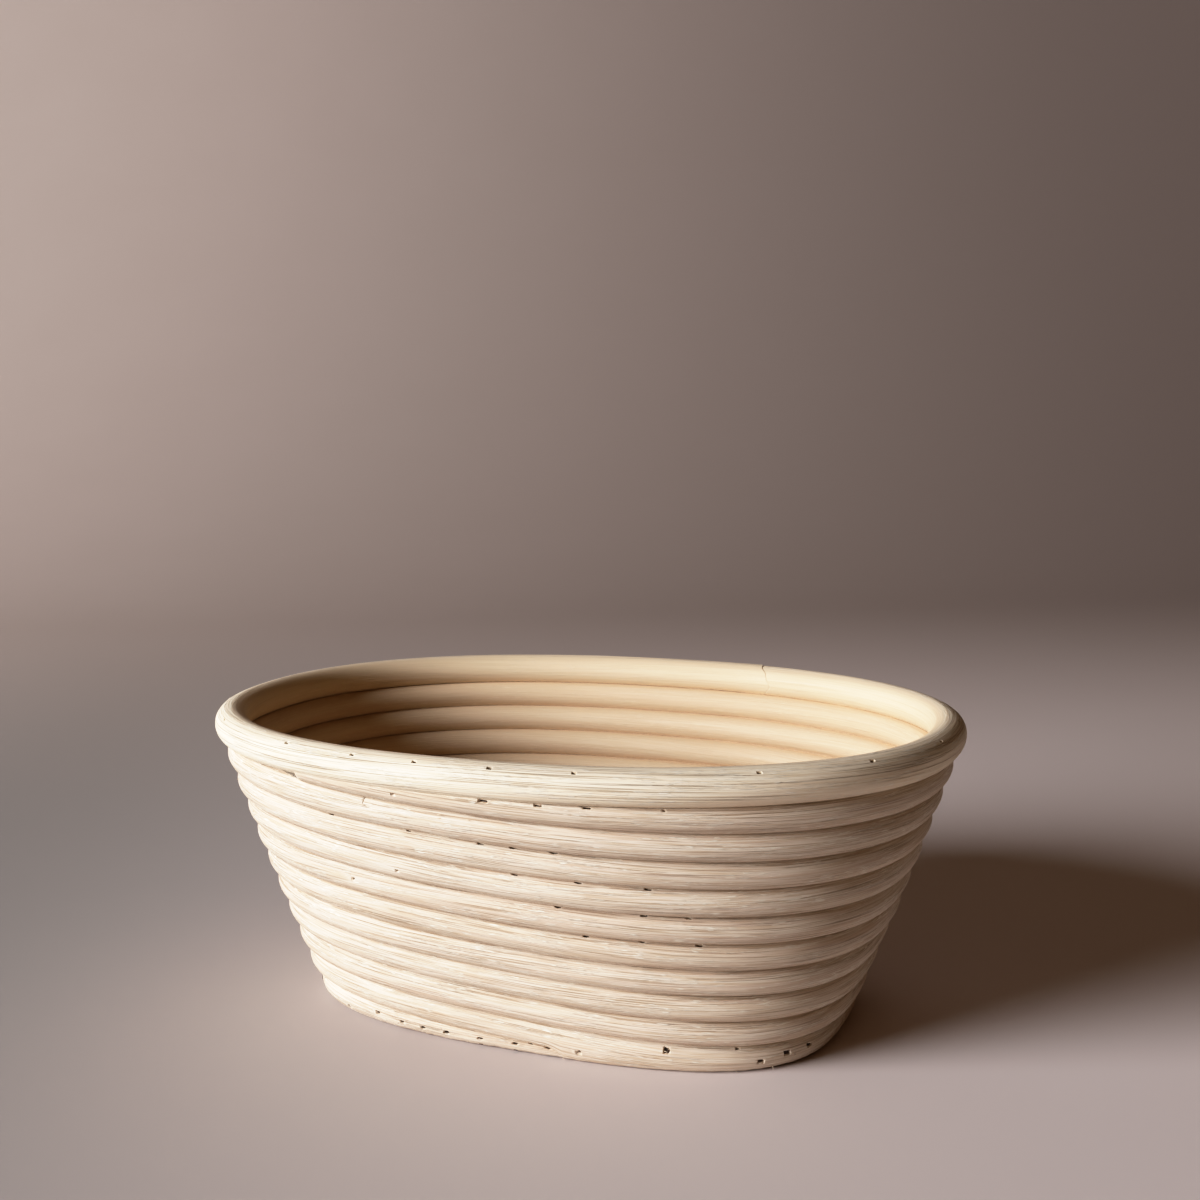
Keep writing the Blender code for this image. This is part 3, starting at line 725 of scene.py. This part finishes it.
# loose fibres: (turn, degrees, length in mm, how far it leans along)
LOOSE = [(1.0065, -58, 1.5, 0.5), (0.9835, -50, 1.6, 0.1), (0.9840, -48, 0.9, 0.6), (7.312, 5, 1.5, -0.4), (7.316, 12, 1.0, 0.6),
         (9.165, 34, 1.5, 0.9), (9.163, 24, 1.2, -0.8), (9.150, 30, 1.3, 0.7), (0.118, 30, 1.0, 0.8), (1.050, 22, 0.9, 0.9),
         (1.046, 30, 0.8, -0.9), (2.318, 2, 1.1, 0.5), (4.322, -8, 0.9, -0.5), (8.330, 6, 1.0, 0.6), (5.62, 5, 1.0, 0.4),
         (3.88, -10, 1.1, -0.5), (0.62, -52, 1.2, 0.3), (0.88, -55, 1.1, -0.4), (6.90, 10, 0.9, 0.5), (0.47, -50, 1.0, 0.4)]


def loose_fibres():
    """Fine torn fibres that stand off the wall, each a bent tapered thread."""
    points, faces = [], []
    for number, (turn, degrees, length, lean) in enumerate(LOOSE):
        i = int(np.argmin(np.abs(WALL_LINE.t - turn)))
        angle = math.radians(degrees)
        out = np.array([WALL_LINE.out[i, 0], WALL_LINE.out[i, 1], 0.0])
        along = np.array([-out[1], out[0], 0.0])
        normal = out * math.cos(angle) + np.array([0, 0, 1.0]) * math.sin(angle)
        root = WALL_LINE.centre[i] + normal * (CANE_RADIUS - 0.0003)
        first = len(points)
        for k in range(5):
            f = k / 4
            middle = root + normal * length * MM * (f - 0.25 * f * f) + along * length * MM * lean * f * f
            middle[2] = max(middle[2] - 0.15 * length * MM * f * f, 0.0001)
            thick = 0.00011 * (1 - 0.75 * f)
            side = np.cross(normal, along)
            for q in range(5):
                a = 2 * math.pi * q / 5
                points.append(tuple(middle + thick * (along * math.cos(a) + side * math.sin(a))))
        for k in range(4):
            for q in range(5):
                a, b = first + k * 5 + q, first + k * 5 + (q + 1) % 5
                faces.append((a, b, b + 5, a + 5))
        faces.append(tuple(first + q for q in range(4, -1, -1)))
        faces.append(tuple(first + 20 + q for q in range(5)))
    mesh = bpy.data.meshes.new("loose_fibres")
    mesh.from_pydata(points, [], faces)
    mesh.shade_smooth()
    t = Tree("loose_fibre")
    spots = t.noise(t.stretched(t.nodes.new("ShaderNodeTexCoord").outputs["Object"], 1500.0, 1500.0), 2.0, 0.5)
    t.put(t.shader.inputs["Base Color"], t.mix(spots, (0.93, 0.83, 0.68), (0.82, 0.66, 0.48)))
    t.put(t.shader.inputs["Roughness"], t.span(spots, 0.3, 0.7, 0.55, 0.75))
    mesh.materials.append(t.material)
    thing = bpy.data.objects.new("loose_fibres", mesh)
    bpy.context.scene.collection.objects.link(thing)
    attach(thing, "root")


# ------------------------------------------------------------------ everything

wall_cane("wall_cane_lower_skin", WALL_START, SPLICE_LOW, (0, WALL_SCARF), wall_marks, 2.2, 101, WALL)
wall_cane("wall_cane_middle_skin", SPLICE_LOW, SPLICE_HIGH, (WALL_SCARF, WALL_SCARF), wall_marks, 2.35, 137, WALL)
wall_cane("wall_cane_top_skin", SPLICE_HIGH, WALL_END, (WALL_SCARF, 0), wall_marks, 1.0, 173, WALL)
rim_cane(rim_marks, RIM)
for rod in range(ROD_COUNT):
    floor_rod(rod, ROD)
more_brads()
loose_fibres()


# ------------------------------------------------------- floor, light and camera

def studio_sheet():
    """A pale sheet: the floor, swept up behind, square to the camera."""
    profile = [(-2.6, 0.0), (0.70, 0.0)]
    for k in range(1, 33):
        a = k / 32 * math.pi / 2
        profile.append((0.70 + 1.1 * math.sin(a), 1.1 - 1.1 * math.cos(a)))
    profile.append((1.80, 3.2))
    points, faces = [], []
    for y, z in profile:
        for x in (-3.2, 3.2):
            points.append((x * math.cos(0.415) - y * math.sin(0.415),
                           x * math.sin(0.415) + y * math.cos(0.415), z - 0.0001))
    for k in range(len(profile) - 1):
        faces.append((2 * k, 2 * k + 1, 2 * k + 3, 2 * k + 2))
    mesh = bpy.data.meshes.new("studio_sheet")
    mesh.from_pydata(points, [], faces)
    mesh.shade_smooth()
    t = Tree("studio_sheet_paper_and_painted_light")
    place = t.nodes.new("ShaderNodeTexCoord").outputs["Object"]
    cloud = t.noise(t.stretched(place, 9.0, 9.0), 3.0, 0.5)
    split = t.nodes.new("ShaderNodeSeparateXYZ")
    t.put(split.inputs[0], place)
    # painted light and shade: the floor is lighter towards the right in front, and the backdrop lighter towards the
    # left behind
    aside = t.math("ADD", t.math("MULTIPLY", split.outputs[0], math.cos(0.415)),
                   t.math("MULTIPLY", split.outputs[1], math.sin(0.415)))
    depth = t.math("SUBTRACT", t.math("MULTIPLY", split.outputs[1], math.cos(0.415)),
                   t.math("MULTIPLY", split.outputs[0], math.sin(0.415)))
    floor = t.mix(t.span(aside, -0.28, 0.16), (0.366, 0.342, 0.325), (0.835, 0.757, 0.735))
    behind = t.mix(t.span(aside, -0.75, 0.75), (0.610, 0.528, 0.483), (0.390, 0.325, 0.298))
    floor = t.mix(t.math("MULTIPLY", cloud, 0.10), floor, (0.56, 0.49, 0.46))
    behind = t.mix(t.math("MULTIPLY", cloud, 0.10), behind, (0.40, 0.32, 0.27))
    t.put(t.shader.inputs["Base Color"], t.mix(t.span(depth, 0.05, 0.75), floor, behind))
    t.shader.inputs["Roughness"].default_value = 0.85
    t.shader.inputs["Specular IOR Level"].default_value = 0.15
    mesh.materials.append(t.material)
    thing = bpy.data.objects.new("studio_sheet", mesh)
    bpy.context.scene.collection.objects.link(thing)
    thing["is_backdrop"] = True


def area_light(name, place, aim, size, power, colour):
    lamp = bpy.data.lights.new(name, "AREA")
    lamp.shape = "DISK"
    lamp.size = size
    lamp.energy = power
    lamp.color = colour
    thing = bpy.data.objects.new(name, lamp)
    thing.location = place
    thing.rotation_euler = (Vector(aim) - Vector(place)).to_track_quat("-Z", "Y").to_euler()
    bpy.context.scene.collection.objects.link(thing)


studio_sheet()
area_light("window", (-1.603, -1.812, 0.953), (0.0, 0.0, 0.03), 1.45, 82.0, (0.930, 0.950, 1.0))

world = bpy.data.worlds.new("studio")
bpy.context.scene.world = world
world.use_nodes = True
world.node_tree.nodes["Background"].inputs["Color"].default_value = (1.0, 0.56, 0.20, 1.0)
world.node_tree.nodes["Background"].inputs["Strength"].default_value = 0.059

camera = bpy.data.cameras.new("camera")
camera.sensor_fit = "HORIZONTAL"
camera.sensor_width = 36.0
camera.lens = 36.0 * 1500.3 / 1200.0
camera.clip_start = 0.01
pan, tilt, roll = -0.41465, 0.13914, -0.02351
ahead = Vector((math.sin(pan) * math.cos(tilt), math.cos(pan) * math.cos(tilt), -math.sin(tilt)))
right = Vector((math.cos(pan), -math.sin(pan), 0.0))
up = right.cross(ahead)
right, up = right * math.cos(roll) + up * math.sin(roll), up * math.cos(roll) - right * math.sin(roll)
eye = bpy.data.objects.new("camera", camera)
eye.matrix_world = Matrix.Translation((0.16799, -0.36369, 0.16565)) @ Matrix((right, up, -ahead)).transposed().to_4x4()
bpy.context.scene.collection.objects.link(eye)
bpy.context.scene.camera = eye
# a gentle photographic contrast
view = bpy.context.scene.view_settings
view.view_transform = "Standard"
view.use_curve_mapping = True
tone = view.curve_mapping.curves[3]
for at, to in ((0.016, 0.0068), (0.031, 0.0165), (0.0625, 0.043), (0.125, 0.105), (0.25, 0.262), (0.375, 0.452),
               (0.50, 0.635), (0.70, 0.855)):
    tone.points.new(at, to)
tone.points[-1].location = (1.0, 0.990)
view.curve_mapping.update()

low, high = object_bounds()
